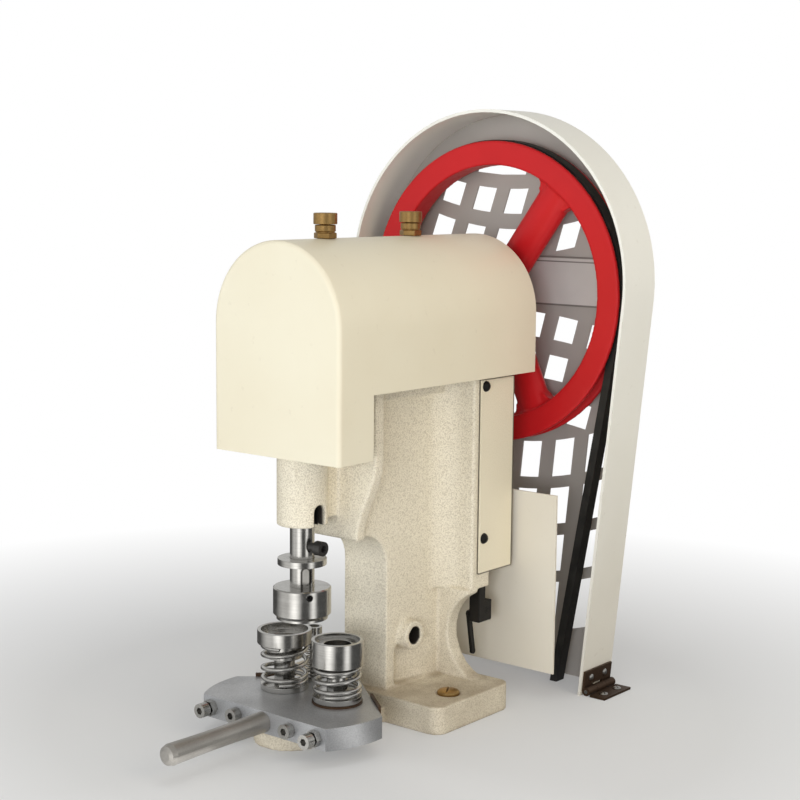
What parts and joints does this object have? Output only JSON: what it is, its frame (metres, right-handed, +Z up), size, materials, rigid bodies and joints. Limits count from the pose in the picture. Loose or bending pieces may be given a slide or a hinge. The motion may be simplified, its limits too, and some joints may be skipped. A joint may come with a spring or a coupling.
{
  "type": "electric button press machine",
  "caption": "Bench button press: cream cast frame and hood, red belt-driven flywheel in a perforated guard, guided ram with die, and a swinging plate of spring-loaded dies with a handle.",
  "frame": {"origin": "middle between the two table bolt holes, on the underside of the feet", "axes": "+Z up, +Y from the dies back to the flywheel, +X to the operator's right when facing the dies"},
  "size_m": [0.335, 0.479, 0.567],
  "materials": {
    "cream_casting": "hammer paint",
    "cream_sheet": "smooth gloss paint",
    "grey_sheet": "smooth paint",
    "red_casting": "gloss paint",
    "turned_steel": "turned and polished",
    "spring_steel": "bright drawn wire",
    "black_steel": "black oxide",
    "brown_steel": "browned steel",
    "aluminium": "milled and blasted",
    "brass": "turned, a little tarnished",
    "bronze": "oiled bronze",
    "belt_rubber": "matt"
  },
  "bodies": {
    "base": {"frame_casting": "cream_casting", "hood": "cream_sheet", "oil_cup_bodies": "brass", "oil_cup_caps": "brass", "side_cover": "cream_sheet", "cover_screws": "black_steel", "front_bush": "bronze", "rear_bush": "bronze", "guide_bush": "bronze", "pivot_post": "turned_steel", "pivot_washer": "turned_steel", "pivot_nut": "turned_steel", "v_belt": "belt_rubber", "guard_band": "cream_sheet", "guard_back_plate": "grey_sheet", "guard_cross_strap": "grey_sheet", "hinge_guard_leaf": "brown_steel", "hinge_table_leaf": "brown_steel", "hinge_pin": "turned_steel", "hinge_screws": "turned_steel", "belt_shield": "cream_sheet", "shield_spacers": "turned_steel", "shield_screws": "black_steel", "trip_bracket": "black_steel", "trip_pin": "turned_steel"},
    "crank": {"crankshaft": "turned_steel", "crank_pin": "turned_steel", "crank_roller": "bronze", "roller_washer": "turned_steel", "clutch_collar": "turned_steel", "clutch_pin": "turned_steel", "wheel_washer": "turned_steel", "wheel_screw": "black_steel"},
    "ram": {"ram_yoke": "turned_steel", "ram": "turned_steel", "ram_collar": "turned_steel", "guide_screw": "black_steel", "upper_die": "turned_steel", "die_set_screw": "black_steel"},
    "swing_plate": {"die_plate": "aluminium", "stop_bars": "brown_steel", "handle": "turned_steel", "stop_screws": "turned_steel", "stop_lock_nuts": "turned_steel", "die_clamp_screws": "turned_steel", "left_post": "turned_steel", "left_spring": "spring_steel", "left_base": "turned_steel", "right_post": "turned_steel", "right_spring": "spring_steel", "right_base": "turned_steel", "right_washer": "brown_steel", "slim_post": "turned_steel", "slim_spring": "spring_steel"},
    "left_die": {"left_cup": "turned_steel"},
    "right_die": {"right_cup": "turned_steel"},
    "slim_die": {"slim_cup": "turned_steel"},
    "wheel": {"flywheel": "red_casting"},
    "trip": {"trip_lever": "black_steel"}
  },
  "joints": [
    {"name": "crank_turn", "type": "hinge", "parent": "base", "child": "crank", "pos_m": [0, 0, 0.387], "axis": [0, 1, 0], "range_deg": [-109, 70.9]},
    {"name": "ram_slide", "type": "slide", "parent": "base", "child": "ram", "axis": [0, 0, 1], "range_m": [-0.013, 0.02]},
    {"name": "plate_swing", "type": "hinge", "parent": "base", "child": "swing_plate", "pos_m": [0, -0.0684, 0.025], "axis": [0, 0, 1], "range_deg": [-38.7, 38.7]},
    {"name": "left_die_slide", "type": "slide", "parent": "swing_plate", "child": "left_die", "axis": [0, 0, 1], "range_m": [-0.006, 0], "stiffness_N_per_m": 3000, "springref_m": 0.003, "deforming": ["left_spring"]},
    {"name": "right_die_slide", "type": "slide", "parent": "swing_plate", "child": "right_die", "axis": [0, 0, 1], "range_m": [-0.006, 0], "stiffness_N_per_m": 3000, "springref_m": 0.003, "deforming": ["right_spring"]},
    {"name": "slim_die_slide", "type": "slide", "parent": "swing_plate", "child": "slim_die", "axis": [0, 0, 1], "range_m": [-0.006, 0], "stiffness_N_per_m": 800, "springref_m": 0.003, "deforming": ["slim_spring"]},
    {"name": "flywheel_spin", "type": "hinge", "parent": "base", "child": "wheel", "pos_m": [0, 0.169, 0.387], "axis": [0, 1, 0], "continuous": true},
    {"name": "trip_lever_turn", "type": "hinge", "parent": "base", "child": "trip", "pos_m": [0.0441, 0.082, 0.085], "axis": [1, 0, 0], "range_deg": [-10, 10], "stiffness_Nm_per_rad": 0.1}
  ],
  "couplings": [
    {"joint": "ram_slide", "follows": "crank_turn", "m_per_rad": -0.010504}
  ]
}
